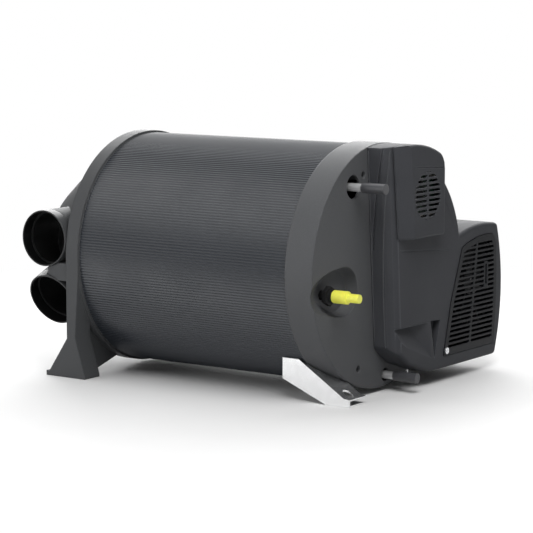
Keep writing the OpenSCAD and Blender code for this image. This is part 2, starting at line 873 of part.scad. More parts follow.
module electronics_cover()
    color("#3b3d40") place() difference() {
        ecover_form(0);
        ecover_form(2.5);
        intersection() {
            xc(vent_r, x_end - 6, x_end + 1, vent_y, vent_z);
            translate([x_end - 6, vent_y, vent_z]) for (i = [-5 : 5]) for (y = [-40, 2])
                bx(0, 7, y, y + 38, 5.9 * i - 1.6, 5.9 * i + 1.6);
        }
    }

// Intake grille

module grille_bars(x0, x1) {
    xplate([
        [fan_y - 22, grille_z - 1.5], [fan_y - 18, grille_z - 1.5], at_fan(1, 56.5), at_fan(-3, 56.5)
    ], x0, x1);
    bx(x0, x1, fan_y + 15.5, fan_y + 25.5, fan_z - 10.5, fan_z + 21.5);
}

module intake_grille()
    color("#3b3d40") place() difference() {
        xplate(grille_pts, x_hood - wall + slip, x_hood + 0.8);
        intersection() {
            xplate(inset(grille_pts, 7), x_hood - 5, x_hood + 2);
            difference() {
                for (z = [grille_z + 8.5 : slot_pitch : fan_z + 55])
                    bx(x_hood - 5, x_hood + 2, fan_y - 96, fan_y + 64, z, z + slot_h);
                grille_bars(x_hood - 6, x_hood + 3);
            }
        }
        bx(x_hood - 1.5, x_hood + 2, fan_y + 18.5, fan_y + 22.5, fan_z - 7, fan_z + 18);
        xc(1.9 + seat, x_hood - 6, x_hood + 2, screw_at[0], screw_at[1]);
    }

module grille_screw()
    color("#c6c8ca") place() translate([x_hood, screw_at[0], screw_at[1]]) difference() {
        union() {
            xc(4, 0.8, 3);
            xc(1.9, -13, 1);
        }
        bx(2, 4, -3.5, 3.5, -0.6, 0.6);
        bx(2, 4, -0.6, 0.6, -3.5, 3.5);
    }

distributor();
collar_upper_front();
collar_lower_front();
collar_upper_rear();
collar_lower_rear();
jacket();
end_cover();
cover_screws();
hood();
fan_box();
foot_bracket();
bracket_rivets();
water_tank();
tank_spacer_left();
tank_spacer_right();
overheat_switch();
water_sensor();
heat_exchanger();
burner_housing();
exhaust_manifold();
burner_tube();
burner_flange();
igniter_electrode();
flame_electrode();
blower_scroll();
blower_motor();
blower_shaft();
blower_wheel();
exhaust_pipe();
air_duct();
flue_seal();
flue_collar();
gas_valve();
gas_coils();
gas_feed();
gas_pipe();
gas_seat();
gas_cap();
hot_pipe();
hot_cap();
cold_pipe();
cold_cap();
ignition_module();
fan_shroud();
fan_motor();
fan_shaft();
fan_wheel();
board_carrier();
control_board();
board_connectors();
electronics_cover();
intake_grille();
grille_screw();
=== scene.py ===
# Looks of the caravan water heater: materials, fine detail, floor, light and camera.
import json
import math

import bmesh
import bpy
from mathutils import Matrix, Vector


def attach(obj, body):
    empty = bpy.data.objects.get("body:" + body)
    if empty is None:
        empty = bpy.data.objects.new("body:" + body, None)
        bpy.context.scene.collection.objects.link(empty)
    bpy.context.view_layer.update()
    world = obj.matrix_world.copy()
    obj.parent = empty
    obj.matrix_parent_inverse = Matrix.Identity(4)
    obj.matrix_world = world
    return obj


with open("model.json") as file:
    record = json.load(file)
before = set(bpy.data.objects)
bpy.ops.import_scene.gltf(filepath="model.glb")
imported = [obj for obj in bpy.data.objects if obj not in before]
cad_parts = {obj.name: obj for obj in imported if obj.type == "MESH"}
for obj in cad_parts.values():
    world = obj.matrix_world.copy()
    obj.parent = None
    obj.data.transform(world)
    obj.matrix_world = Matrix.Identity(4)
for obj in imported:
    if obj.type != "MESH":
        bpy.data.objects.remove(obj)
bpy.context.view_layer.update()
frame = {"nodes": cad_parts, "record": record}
nodes = frame["nodes"]
scene = bpy.context.scene
scene.view_settings.view_transform = "Standard"


# the row frame's origin in the part's drawing, in millimetres
origin_x, origin_y, origin_z = 138.6, 77.0, -152.5


def at(x, y, z):
    """A point of the part's drawing, in millimetres, as a point of the row frame, in metres."""
    return Vector(((x - origin_x) / 1000, (y - origin_y) / 1000, (z - origin_z) / 1000))


def placed(name, data):
    """Puts a new object with this data in the scene."""
    o = bpy.data.objects.new(name, data)
    scene.collection.objects.link(o)
    return o


def shown(name, bm):
    """Turns a filled bmesh into an object of the scene."""
    me = bpy.data.meshes.new(name)
    bm.to_mesh(me)
    bm.free()
    return placed(name, me)


# Camera at the photograph's angle

def photo_camera(azimuth=35.2, elevation=7.7, reach=2.7073, aim=(0.0410, -0.0770, 0.1387)):
    """The camera matched to the photograph, in degrees and metres."""
    az, el = math.radians(azimuth), math.radians(elevation)
    back = Vector((math.sin(az) * math.cos(el), -math.cos(az) * math.cos(el), math.sin(el)))
    data = bpy.data.cameras.new("camera")
    data.sensor_width = 36.0
    data.lens = 147.5
    data.clip_start = 0.05
    data.clip_end = 60.0
    cam = placed("camera", data)
    cam.location = Vector(aim) + back * reach
    cam.rotation_mode = "QUATERNION"
    cam.rotation_quaternion = (-back).to_track_quat("-Z", "Y")
    scene.camera = cam


photo_camera()


# Materials

class Paint:
    """A procedural material on object coordinates, so it moves with its piece."""

    def __init__(self, name):
        self.mat = bpy.data.materials.new(name)
        self.mat.use_nodes = True
        self.tree = self.mat.node_tree
        self.tree.nodes.clear()
        self.out = self.add("ShaderNodeOutputMaterial")
        self.bsdf = self.add("ShaderNodeBsdfPrincipled")
        self.link(self.bsdf.outputs[0], self.out.inputs["Surface"])
        self.coord = self.add("ShaderNodeTexCoord").outputs["Object"]

    def add(self, kind, **values):
        n = self.tree.nodes.new(kind)
        for k, v in values.items():
            setattr(n, k, v)
        return n

    def link(self, a, b):
        self.tree.links.new(a, b)

    def put(self, socket, value):
        """Links a node's output, or sets a constant."""
        if isinstance(value, bpy.types.NodeSocket):
            self.link(value, socket)
        else:
            socket.default_value = value

    def stretched(self, x, y, z, turn=(0, 0, 0)):
        """Object coordinates, scaled and turned."""
        n = self.add("ShaderNodeMapping")
        self.link(self.coord, n.inputs["Vector"])
        n.inputs["Scale"].default_value = (x, y, z)
        n.inputs["Rotation"].default_value = turn
        return n.outputs[0]

    def noise(self, scale, detail=2.0, rough=0.5, vector=None):
        n = self.add("ShaderNodeTexNoise")
        self.link(vector or self.coord, n.inputs["Vector"])
        n.inputs["Scale"].default_value = scale
        n.inputs["Detail"].default_value = detail
        n.inputs["Roughness"].default_value = rough
        return n.outputs[0]

    def cells(self, scale, out="Distance"):
        n = self.add("ShaderNodeTexVoronoi")
        self.link(self.coord, n.inputs["Vector"])
        n.inputs["Scale"].default_value = scale
        return n.outputs[out]

    def ramp(self, value, lo, hi, a=0.0, b=1.0):
        """A soft step from a to b while the value goes from lo to hi."""
        n = self.add("ShaderNodeMapRange", interpolation_type="SMOOTHSTEP")
        self.put(n.inputs["Value"], value)
        for k, v in (("From Min", lo), ("From Max", hi), ("To Min", a), ("To Max", b)):
            n.inputs[k].default_value = v
        return n.outputs[0]

    def math(self, op, a, b=0.0):
        n = self.add("ShaderNodeMath", operation=op)
        self.put(n.inputs[0], a)
        self.put(n.inputs[1], b)
        return n.outputs[0]

    def blend(self, fac, a, b):
        """Mixes two colours, each a node's output or a constant."""
        n = self.add("ShaderNodeMix", data_type="RGBA")
        self.put(n.inputs["Factor"], fac)
        self.put(n.inputs["A"], (*a, 1.0) if isinstance(a, tuple) else a)
        self.put(n.inputs["B"], (*b, 1.0) if isinstance(b, tuple) else b)
        return n.outputs["Result"]

    def rounded(self, width):
        """A normal that rounds the edges over this width."""
        n = self.add("ShaderNodeBevel", samples=6)
        n.inputs["Radius"].default_value = width
        return n.outputs[0]

    def edges(self, width, lo=0.02, hi=0.25):
        """1 near edges, 0 on flats: where a rounded normal leaves the true one."""
        g = self.add("ShaderNodeNewGeometry")
        d = self.add("ShaderNodeVectorMath", operation="DOT_PRODUCT")
        self.link(self.rounded(width), d.inputs[0])
        self.link(g.outputs["True Normal"], d.inputs[1])
        away = self.math("SUBTRACT", 1.0, d.outputs["Value"])
        return self.ramp(away, lo, hi)

    def bump(self, height, strength, distance, normal=None):
        n = self.add("ShaderNodeBump")
        n.inputs["Strength"].default_value = strength
        n.inputs["Distance"].default_value = distance
        self.link(height, n.inputs["Height"])
        if normal is not None:
            self.link(normal, n.inputs["Normal"])
        return n.outputs[0]

    def finish(self, color, rough, normal=None, metal=0.0, **constants):
        """Wires the surface. A further input's name has _ for each space."""
        self.put(self.bsdf.inputs["Base Color"], (*color, 1.0) if isinstance(color, tuple) else color)
        self.put(self.bsdf.inputs["Roughness"], rough)
        self.put(self.bsdf.inputs["Metallic"], metal)
        if normal is not None:
            self.link(normal, self.bsdf.inputs["Normal"])
        for k, v in constants.items():
            self.bsdf.inputs[k.replace("_", " ")].default_value = v
        return self.mat


def tint(c, k):
    """A colour made lighter or darker."""
    return tuple(min(1.0, v * k) for v in c)


# the warm air ducts in the row frame: the upper pair lies level, the lower pair slopes
duct_x, upper_duct_z = -0.1939, 0.1722
lower_duct_y, lower_duct_z, lower_duct_tilt = 0.126, 0.0964, math.radians(24)
heater_y = -0.077
shade_mask_blur = 0.0005


def duct_shade_mask(p, r=0.033):
    """Painted shade mask: 1 inside the four warm air ducts, up to radius r, 0 elsewhere."""
    xyz = p.add("ShaderNodeSeparateXYZ")
    p.link(p.coord, xyz.inputs[0])
    x, y, z = xyz.outputs
    across = p.math("SUBTRACT", x, duct_x)
    aside = p.math("ABSOLUTE", p.math("SUBTRACT", y, heater_y))
    outward = p.math("SUBTRACT", aside, lower_duct_y)
    above = p.math("MULTIPLY", p.math("SUBTRACT", z, lower_duct_z), math.cos(lower_duct_tilt))
    slanted = p.math("ADD", above, p.math("MULTIPLY", outward, math.sin(lower_duct_tilt)))
    inside = []
    for height in (p.math("SUBTRACT", z, upper_duct_z), slanted):
        square = p.math("ADD", p.math("MULTIPLY", across, across), p.math("MULTIPLY", height, height))
        inside.append(p.ramp(square, (r - shade_mask_blur) ** 2, (r + shade_mask_blur) ** 2, 1.0, 0.0))
    return p.math("MAXIMUM", *inside)


def collar_shade_mask(p):
    """Painted shade mask for the inside of the ducts, out to the middle of the collars' walls."""
    return duct_shade_mask(p, 0.0342)


def plastic(name, color, rough=0.5, grain=1500.0, depth=0.00005, wear_and_highlight=0.5, soft=0.0, shine=0.5,
            shade=None, lines=1.9, crease=(0.02, 0.25)):
    """Moulded plastic: fine grain, faint flow marks, and edges slightly polished and paler, partly rubbed
    wear and partly painted highlight lines.
    """
    p = Paint(name)
    flow = p.noise(7.0, 4.0, 0.55)
    speck = p.noise(900.0, 2.0, 0.6)
    base = p.blend(p.ramp(flow, 0.3, 0.7), tint(color, 0.94), tint(color, 1.06))
    base = p.blend(p.ramp(speck, 0.35, 0.75), base, tint(color, 1.12))
    # paler edges: partly rubbed wear, partly painted highlight lines along edges and creases
    rub_and_highlight = p.math("MULTIPLY", p.edges(0.0014, *crease), p.ramp(p.noise(55.0, 4.0, 0.65), 0.2, 0.5))
    base = p.blend(p.math("MULTIPLY", rub_and_highlight, wear_and_highlight), base, tint(color, lines))
    # painted shade: the inside of the warm air ducts goes near black
    if shade:
        base = p.blend(shade(p), base, tint(color, 0.08))
    smear = p.ramp(p.noise(22.0, 5.0, 0.6), 0.3, 0.7, rough - 0.025, rough + 0.03)
    r = p.math("SUBTRACT", smear, p.math("MULTIPLY", rub_and_highlight, 0.08))
    n = p.rounded(soft) if soft else None
    n = p.bump(p.noise(grain, 3.0, 0.6), 0.5, depth, n)
    n = p.bump(p.noise(130.0, 2.0, 0.5), 0.06, 0.0003, n)
    return p.finish(base, r, n, Specular_IOR_Level=shine)


def metal(name, color, rough=0.3, lines=(1.0, 1.0, 1.0), line_scale=500.0, depth=0.00002, stain=0.15,
          bare=1.0):
    """Bare metal: drawn or brushed lines, cloudy roughness and a few darker stains."""
    p = Paint(name)
    streak = p.noise(line_scale, 3.0, 0.6, p.stretched(*lines))
    cloud = p.noise(18.0, 4.0, 0.6)
    base = p.blend(p.ramp(streak, 0.3, 0.7), tint(color, 0.90), tint(color, 1.06))
    base = p.blend(p.math("MULTIPLY", p.ramp(cloud, 0.52, 0.78), stain), base, tint(color, 0.55))
    edge = p.edges(0.0009)
    base = p.blend(p.math("MULTIPLY", edge, 0.35), base, tint(color, 1.25))
    dull = p.ramp(cloud, 0.3, 0.7, rough - 0.06, rough + 0.08)
    r = p.math("ADD", dull, p.ramp(streak, 0.2, 0.8, -0.05, 0.05))
    n = p.bump(streak, 0.4, depth)
    return p.finish(base, r, n, metal=bare)


def zinc(name, color, rough=0.22):
    """Bright zinc coated sheet: soft spangle, rolling lines and dull edges."""
    p = Paint(name)
    spangle = p.cells(140.0, out="Color")
    grey = p.add("ShaderNodeRGBToBW")
    p.link(spangle, grey.inputs[0])
    roll = p.noise(260.0, 3.0, 0.6, p.stretched(0.06, 1.0, 1.0))
    base = p.blend(p.ramp(grey.outputs[0], 0.1, 0.9), tint(color, 0.97), tint(color, 1.02))
    base = p.blend(p.math("MULTIPLY", p.ramp(roll, 0.45, 0.8), 0.12), base, tint(color, 0.82))
    base = p.blend(p.math("MULTIPLY", p.edges(0.0008), 0.5), base, tint(color, 0.72))
    dull = p.ramp(grey.outputs[0], 0.0, 1.0, rough - 0.02, rough + 0.03)
    r = p.math("ADD", dull, p.ramp(roll, 0.3, 0.8, -0.02, 0.03))
    n = p.bump(roll, 0.12, 0.00003)
    return p.finish(base, r, n, metal=0.95)


def rubber(name, color, rough=0.72):
    """Dull rubber or ferrite: a faint bloom over a fine grain."""
    p = Paint(name)
    bloom = p.noise(30.0, 4.0, 0.6)
    base = p.blend(p.ramp(bloom, 0.35, 0.75), color, tint(color, 1.5))
    n = p.bump(p.noise(1100.0, 3.0, 0.6), 0.5, 0.00006)
    return p.finish(base, p.ramp(bloom, 0.3, 0.7, rough - 0.08, rough + 0.08), n, Specular_IOR_Level=0.35)


def soft_cap(name, color, rough=0.4, glow=0.1):
    """Soft pushed-on cap: faint mottling, moulding ring marks, slightly waxy."""
    p = Paint(name)
    mottle = p.noise(60.0, 4.0, 0.6)
    base = p.blend(p.ramp(mottle, 0.3, 0.7), tint(color, 0.93), tint(color, 1.05))
    base = p.blend(p.math("MULTIPLY", p.edges(0.0012), 0.35), base, tint(color, 1.18))
    rings = p.noise(420.0, 2.0, 0.5, p.stretched(1.0, 0.03, 0.03))
    n = p.bump(rings, 0.22, 0.00006)
    n = p.bump(p.noise(900.0, 2.0, 0.5), 0.3, 0.00003, n)
    waxy = p.ramp(mottle, 0.3, 0.7, rough - 0.06, rough + 0.08)
    return p.finish(base, waxy, n, Subsurface_Weight=glow, Subsurface_Radius=(0.004, 0.003, 0.001))


def ceramic(name, color):
    """Fired ceramic: faint clouds and a smooth skin."""
    p = Paint(name)
    fire = p.noise(80.0, 4.0, 0.6)
    base = p.blend(p.ramp(fire, 0.45, 0.75), color, tint(color, 0.86))
    n = p.bump(p.noise(700.0, 2.0, 0.5), 0.2, 0.00003)
    return p.finish(base, p.ramp(fire, 0.3, 0.7, 0.22, 0.36), n)


def board_green(name, color):
    """Circuit board: tracks under a green coat, darker bare areas and pale pads."""
    p = Paint(name)
    grid = p.add("ShaderNodeTexBrick", offset=0.35, squash=0.6, squash_frequency=3)
    v = p.stretched(1.0, 1.0, 1.0, (math.radians(90), 0, math.radians(90)))
    p.link(v, grid.inputs["Vector"])
    grid.inputs["Scale"].default_value = 150.0
    grid.inputs["Mortar Size"].default_value = 0.035
    grid.inputs["Color1"].default_value = (*color, 1)
    grid.inputs["Color2"].default_value = (*tint(color, 0.8), 1)
    grid.inputs["Mortar"].default_value = (*tint(color, 2.1), 1)
    pads = p.cells(260.0)
    base = p.blend(p.ramp(pads, 0.10, 0.13, 1.0, 0.0), grid.outputs["Color"], (0.62, 0.55, 0.36))
    n = p.bump(grid.outputs["Fac"], 0.3, 0.00004)
    return p.finish(base, p.ramp(p.noise(40.0), 0.3, 0.7, 0.22, 0.34), n)


paints = {
    # the shell's strong pale edge tint is painted highlight along its edges and creases
    "shell": plastic("shell_plastic", (0.046, 0.0475, 0.0525), 0.55, wear_and_highlight=0.9, soft=0.003, shine=0.1,
                     lines=2.1, crease=(0.012, 0.12)),
    "jacket": plastic("jacket_plastic", (0.0190, 0.0222, 0.0285), 0.40, 1200.0, 0.00002, 0.1, shine=0.60),
    # the collars: grey outside, painted shade near black inside their bores
    "collar": plastic("collar_plastic", (0.056, 0.0575, 0.060), 0.34, 1500.0, 0.00002, 0.15, 0.0008, 0.22,
                      collar_shade_mask),
    "bracket": zinc("bracket_zinc", (0.93, 0.935, 0.94)),
    "rivet": metal("rivet_metal", (0.70, 0.71, 0.72), 0.32),
    "cover_screw": metal("black_screw", (0.012, 0.012, 0.013), 0.55),
    "grille_screw": metal("bright_screw", (0.80, 0.81, 0.82), 0.28),
    "tank": metal("tank_steel", (0.58, 0.59, 0.60), 0.30, (0.05, 1.0, 1.0), 420.0),
    "spacer": plastic("spacer_plastic", (0.028, 0.028, 0.030), 0.55),
    "switch": plastic("switch_plastic", (0.26, 0.13, 0.05), 0.40),
    "sensor": metal("sensor_brass", (0.60, 0.48, 0.26), 0.32),
    "exchanger": metal("exchanger_cast", (0.50, 0.51, 0.53), 0.48, (1, 1, 1), 300.0, 0.00008),
    "burner": metal("burner_sheet", (0.34, 0.34, 0.35), 0.40, (1, 1, 0.1), 300.0, 0.00003, 0.5),
    "electrode": ceramic("fired_ceramic", (0.78, 0.75, 0.68)),
    "blower": metal("blower_cast", (0.48, 0.49, 0.51), 0.46, (1, 1, 1), 260.0, 0.00008),
    "motor": metal("motor_coat", (0.14, 0.14, 0.15), 0.42, (0.1, 1, 1), 300.0),
    "shaft": metal("shaft_ground", (0.62, 0.63, 0.64), 0.22, (0.1, 1, 1), 700.0),
    "wheel": plastic("wheel_plastic", (0.016, 0.0165, 0.018), 0.42),
    "exhaust": metal("exhaust_steel", (0.55, 0.55, 0.55), 0.27, (1.0, 0.05, 1.0), 480.0, 0.00002, 0.3),
    "duct": metal("duct_sheet", (0.36, 0.37, 0.38), 0.38),
    "seal": rubber("seal_rubber", (0.004, 0.004, 0.0045)),
    "valve": metal("valve_cast", (0.46, 0.47, 0.48), 0.45, (1, 1, 1), 260.0, 0.00008),
    "coil": plastic("coil_plastic", (0.03, 0.05, 0.11), 0.32),
    "feed": metal("feed_brass", (0.62, 0.45, 0.20), 0.28, (1, 0.05, 1), 480.0),
    "pipe": metal("pipe_steel", (0.90, 0.905, 0.91), 0.18, (0.05, 1.0, 1.0), 520.0, 0.00001, 0.05, 0.65),
    "yellow_cap": soft_cap("yellow_cap_plastic", (0.93, 0.925, 0.12), 0.38, 0.15),
    "grey_cap": soft_cap("grey_cap_plastic", (0.052, 0.053, 0.058), 0.34, 0.0),
    "module": plastic("module_plastic", (0.024, 0.024, 0.026), 0.50),
    "shroud": plastic("shroud_plastic", (0.026, 0.027, 0.029), 0.48),
    "carrier": plastic("carrier_plastic", (0.035, 0.035, 0.036), 0.48),
    "board": board_green("board_coat", (0.004, 0.026, 0.011)),
    "connector": plastic("connector_plastic", (0.42, 0.41, 0.37), 0.42),
}
# the distributor and the end cover are moulded in paler greys than the hood, the grille in a darker one
by_node = {
    # the distributor: painted shade near black on its walls seen down the ducts
    "distributor": plastic("ring_plastic", (0.066, 0.068, 0.071), 0.50, soft=0.0022, shine=0.14,
                           shade=duct_shade_mask),
    "end_cover": plastic("cover_plastic", (0.080, 0.082, 0.086), 0.50, soft=0.0022, shine=0.14),
    "intake_grille": plastic("grille_plastic", (0.011, 0.0115, 0.0135), 0.50, soft=0.001, shine=0.15),
}
for part in frame["record"]["subparts"]:
    mesh = nodes[part["node"]].data
    mesh.materials.clear()
    mesh.materials.append(by_node.get(part["node"], paints[part["material_slot"]]))


# Rounded edges on the moulded and bent pieces

def mesh_group(name):
    """A modifier group with one mesh in and one out: the group and these two sockets."""
    g = bpy.data.node_groups.new(name, "GeometryNodeTree")
    for way in ("INPUT", "OUTPUT"):
        g.interface.new_socket("Geometry", in_out=way, socket_type="NodeSocketGeometry")
    return g, g.nodes.new("NodeGroupInput").outputs[0], g.nodes.new("NodeGroupOutput").inputs[0]


def smooth_group():
    """Smooth shading that drops the imported normals."""
    g, mesh_in, mesh_out = mesh_group("smooth_all")
    drop = g.nodes.new("GeometryNodeRemoveAttribute")
    drop.inputs["Name"].default_value = "custom_normal"
    shade = g.nodes.new("GeometryNodeSetShadeSmooth")
    g.links.new(mesh_in, drop.inputs["Geometry"])
    g.links.new(drop.outputs["Geometry"], shade.inputs["Geometry"])
    g.links.new(shade.outputs["Geometry"], mesh_out)
    return g


smooth_all = smooth_group()


# what counts as a turn, as near a plane (millimetres), as level and as long (metres)
turn_limit, plane_gap, level_gap, shortest_run = math.radians(20), 0.3, 0.0002, 0.004


class Fields:
    """Number nodes of a modifier group, on edges, in drawing millimetres."""

    def __init__(self, tree):
        self.tree = tree
        x, y, z = self.split(tree.nodes.new("GeometryNodeInputPosition").outputs[0])
        self.x = self.math("ADD", self.math("MULTIPLY", x, 1000.0), origin_x)
        self.y = self.math("ADD", self.math("MULTIPLY", y, 1000.0), origin_y)
        self.z = self.math("ADD", self.math("MULTIPLY", z, 1000.0), origin_z)

    def split(self, vector):
        n = self.tree.nodes.new("ShaderNodeSeparateXYZ")
        self.tree.links.new(vector, n.inputs[0])
        return n.outputs

    def math(self, op, a, b=0.0):
        n = self.tree.nodes.new("ShaderNodeMath")
        n.operation = op
        for socket, value in zip(n.inputs, (a, b)):
            if isinstance(value, bpy.types.NodeSocket):
                self.tree.links.new(value, socket)
            else:
                socket.default_value = value
        return n.outputs[0]

    def above(self, field, value):
        return self.math("GREATER_THAN", field, value)

    def under(self, field, value):
        return self.math("LESS_THAN", field, value)

    def opposite(self, field):
        return self.math("SUBTRACT", 1.0, field)

    def beyond(self, y, z, r):
        """1 outside a circle in the end plane."""
        a, b = self.math("SUBTRACT", self.y, y), self.math("SUBTRACT", self.z, z)
        square = self.math("ADD", self.math("MULTIPLY", a, a), self.math("MULTIPLY", b, b))
        return self.above(square, r * r)

    def below(self, y, z, slope):
        """1 under a line through a point, falling by slope degrees."""
        a, t = self.math("SUBTRACT", self.y, y), math.radians(slope)
        across = self.math("MULTIPLY", a, math.sin(t))
        rise = self.math("MULTIPLY", self.math("SUBTRACT", self.z, z), math.cos(t))
        return self.under(self.math("ADD", across, rise), 0.0)

    def all_of(self, *values):
        """1 where every field is 1."""
        out = values[0]
        for v in values[1:]:
            out = self.math("MULTIPLY", out, v)
        return out

    def any_of(self, *values):
        """1 where some field is 1."""
        out = values[0]
        for v in values[1:]:
            out = self.math("MAXIMUM", out, v)
        return out

    def sharp(self):
        """1 on edges between faces that turn."""
        angle = self.tree.nodes.new("GeometryNodeInputMeshEdgeAngle").outputs[0]
        return self.above(angle, turn_limit)

    def lengthwise(self):
        """1 on edges that run along x."""
        ends = self.tree.nodes.new("GeometryNodeInputMeshEdgeVertices")
        step = self.tree.nodes.new("ShaderNodeVectorMath")
        step.operation = "SUBTRACT"
        self.tree.links.new(ends.outputs["Position 1"], step.inputs[0])
        self.tree.links.new(ends.outputs["Position 2"], step.inputs[1])
        x, y, z = (self.math("ABSOLUTE", v) for v in self.split(step.outputs[0]))
        level = self.under(self.math("ADD", y, z), level_gap)
        return self.all_of(level, self.above(x, shortest_run))

    def near_plane(self, x):
        """1 in the plane across x."""
        return self.under(self.math("ABSOLUTE", self.math("SUBTRACT", self.x, x)), plane_gap)


# outer arcs in the end planes: y and z of the centre, and a radius just inside the edge
fan_top_arc = (192.0, -162.0, 196.7)
body_arc = (0.0, 0.0, 133.7)
rear_arc = (-12.6, -47.5, 251.3)
# a circle just outside the electronics cover's vent
vent_ring = (30.0, 84.5, 31.0)
# slanted lines: y and z of a point, and the fall in degrees
hood_foot = (25.0, -121.6, 17.4)
hood_foot_corner = (-15.0, -96.6, 36.9)
step_top = (-8.0, 122.4, 4.16)
step_bottom = (-8.0, 119.4, 4.16)
# where the fan side begins, and where the hood's body clears the electronics cover
fan_side_y, body_side_y, body_side_z = 133.0, 76.0, 28.0
# just above the lowest edge of the fan side
fan_floor_z = -134.2


def hood_outline(f):
    """The outer outline of the hood's end face, apart from the part under the electronics cover."""
    fan_top = f.all_of(f.above(f.y, fan_side_y), f.beyond(*fan_top_arc))
    body = f.all_of(f.above(f.y, body_side_y), f.above(f.z, body_side_z), f.beyond(*body_arc))
    foot = f.any_of(f.below(*hood_foot), f.below(*hood_foot_corner), f.under(f.z, fan_floor_z))
    return f.any_of(fan_top, body, foot, f.beyond(*rear_arc))


def cover_outline(f):
    """The outer outline of the electronics cover's end face, clear of its vent and its step line."""
    on_step = f.all_of(f.below(*step_top), f.opposite(f.below(*step_bottom)))
    return f.all_of(f.beyond(*vent_ring), f.opposite(on_step))


def box_outline(f):
    """The outer outline of the fan box's back."""
    return f.any_of(f.beyond(*fan_top_arc), f.beyond(*rear_arc), f.under(f.z, fan_floor_z))


def rounding_group(name, plane, outline):
    """Marks the sharp outer edges in a plane, and those that run back from it, for rounding."""
    g, mesh_in, mesh_out = mesh_group(name)
    f = Fields(g)
    picked = f.all_of(f.sharp(), f.any_of(f.near_plane(plane), f.lengthwise()), outline(f))
    store = g.nodes.new("GeometryNodeStoreNamedAttribute")
    store.data_type = "FLOAT"
    store.domain = "EDGE"
    store.inputs["Name"].default_value = "bevel_weight_edge"
    g.links.new(picked, store.inputs["Value"])
    g.links.new(mesh_in, store.inputs["Geometry"])
    g.links.new(store.outputs["Geometry"], mesh_out)
    return g


# node: plane of its end face in millimetres, outline, and width of the rounding in metres
rounded_ends = {
    "hood": (379.0, hood_outline, 0.0045),
    "electronics_cover": (393.6, cover_outline, 0.0035),
    "fan_box": (212.0, box_outline, 0.0045),
}


def round_end(o, name):
    """Rounds the outer outline of a node's end face."""
    plane, outline, width = rounded_ends[name]
    g = o.modifiers.new("outline", "NODES")
    g.node_group = rounding_group(name + "_outline", plane, outline)
    bev = o.modifiers.new("end_rounding", "BEVEL")
    bev.limit_method = "WEIGHT"
    bev.width = width
    bev.segments = 4
    bev.use_clamp_overlap = False


weld_gap = 0.00001
flat_turn = math.radians(0.4)
sharp_turn = math.radians(32.0)


def soften(name, width, cuts):
    """Joins the node's faces, cuts fine seams, rounds its sharp edges, evens its shading."""
    o = nodes[name]
    weld = o.modifiers.new("join", "WELD")
    weld.merge_threshold = weld_gap
    for cutter in cuts:
        b = o.modifiers.new("seam", "BOOLEAN")
        b.operation = "DIFFERENCE"
        b.solver = "EXACT"
        b.object = cutter
    flat = o.modifiers.new("flats", "DECIMATE")
    flat.decimate_type = "DISSOLVE"
    flat.angle_limit = flat_turn
    g = o.modifiers.new("smooth", "NODES")
    g.node_group = smooth_all
    if name in rounded_ends:
        round_end(o, name)
    bev = o.modifiers.new("rounding", "BEVEL")
    bev.limit_method = "ANGLE"
    bev.angle_limit = sharp_turn
    bev.width = width
    bev.segments = 2
    bev.use_clamp_overlap = True
    wn = o.modifiers.new("normals", "WEIGHTED_NORMAL")
    wn.weight = 60
    wn.keep_sharp = True


# Fine seams, cut with thin ribbons

def skin(bm, rings):
    """Closes a row of equal rings of points into a solid."""
    for a, b in zip(rings, rings[1:]):
        n = len(a)
        for k in range(n):
            bm.faces.new((a[k], a[(k + 1) % n], b[(k + 1) % n], b[k]))
    bm.faces.new(rings[0])
    bm.faces.new(rings[-1])


def groove(name, points, normal, width, depth):
    """A thin ribbon of a cutter along points in drawing millimetres, sunk into the face below it."""
    n = Vector(normal).normalized()
    bm = bmesh.new()
    rings = []
    for i, p in enumerate(points):
        along = Vector(points[min(i + 1, len(points) - 1)]) - Vector(points[max(i - 1, 0)])
        side = along.cross(n).normalized() * width / 2
        c = Vector(p)
        corners = (c - side - n * depth, c + side - n * depth, c + side + n, c - side + n)
        rings.append([bm.verts.new(at(*q)) for q in corners])
    skin(bm, rings)
    bmesh.ops.recalc_face_normals(bm, faces=bm.faces)
    o = shown(name, bm)
    o.hide_render = True
    o.hide_viewport = True
    return o


# the hood's front wall leans, and turns in towards the end face in two flats
hood_lean = math.radians(4)
front_out = (0, -math.cos(hood_lean), -math.sin(hood_lean))
first_turn, second_turn = 366.0, 374.5
first_slope, second_slope = 4.5 / 8.5, 7.5 / 4.5
# the wall's y at the height of the jacket's axis
wall_y = -22.05
# x of the parting line at its foot, and its lean and bend; x of the ridge at its middle, and its bow
parting_x, parting_lean, parting_bend = 350.3, 7.9, 10.7
parting_foot, parting_height = 20.0, 125.0
ridge_x, ridge_bow, ridge_middle, ridge_height = 363.0, 12.3, -50.0, 190.0
bead_x = 348.5


def front_wall(z, x=first_turn):
    """The front wall's y at a height, and at a place along the heater."""
    turn_in = (min(max(x, first_turn), second_turn) - first_turn) * first_slope
    turn_in += max(x - second_turn, 0.0) * second_slope
    return wall_y - math.tan(hood_lean) * z + turn_in


def levels(top, bottom, count):
    """Even heights from top to bottom."""
    return [top + (bottom - top) * k / (count - 1) for k in range(count)]


def parting_point(z):
    """The parting line bends towards the end face as it rises."""
    u = (z - parting_foot) / parting_height
    return parting_x + parting_lean * u + parting_bend * u * u, front_wall(z), z


def ridge_point(z):
    """The ridge bows towards the end face at the top."""
    x = ridge_x + ridge_bow * ((z - ridge_middle) / ridge_height) ** 2
    return x, front_wall(z, x), z


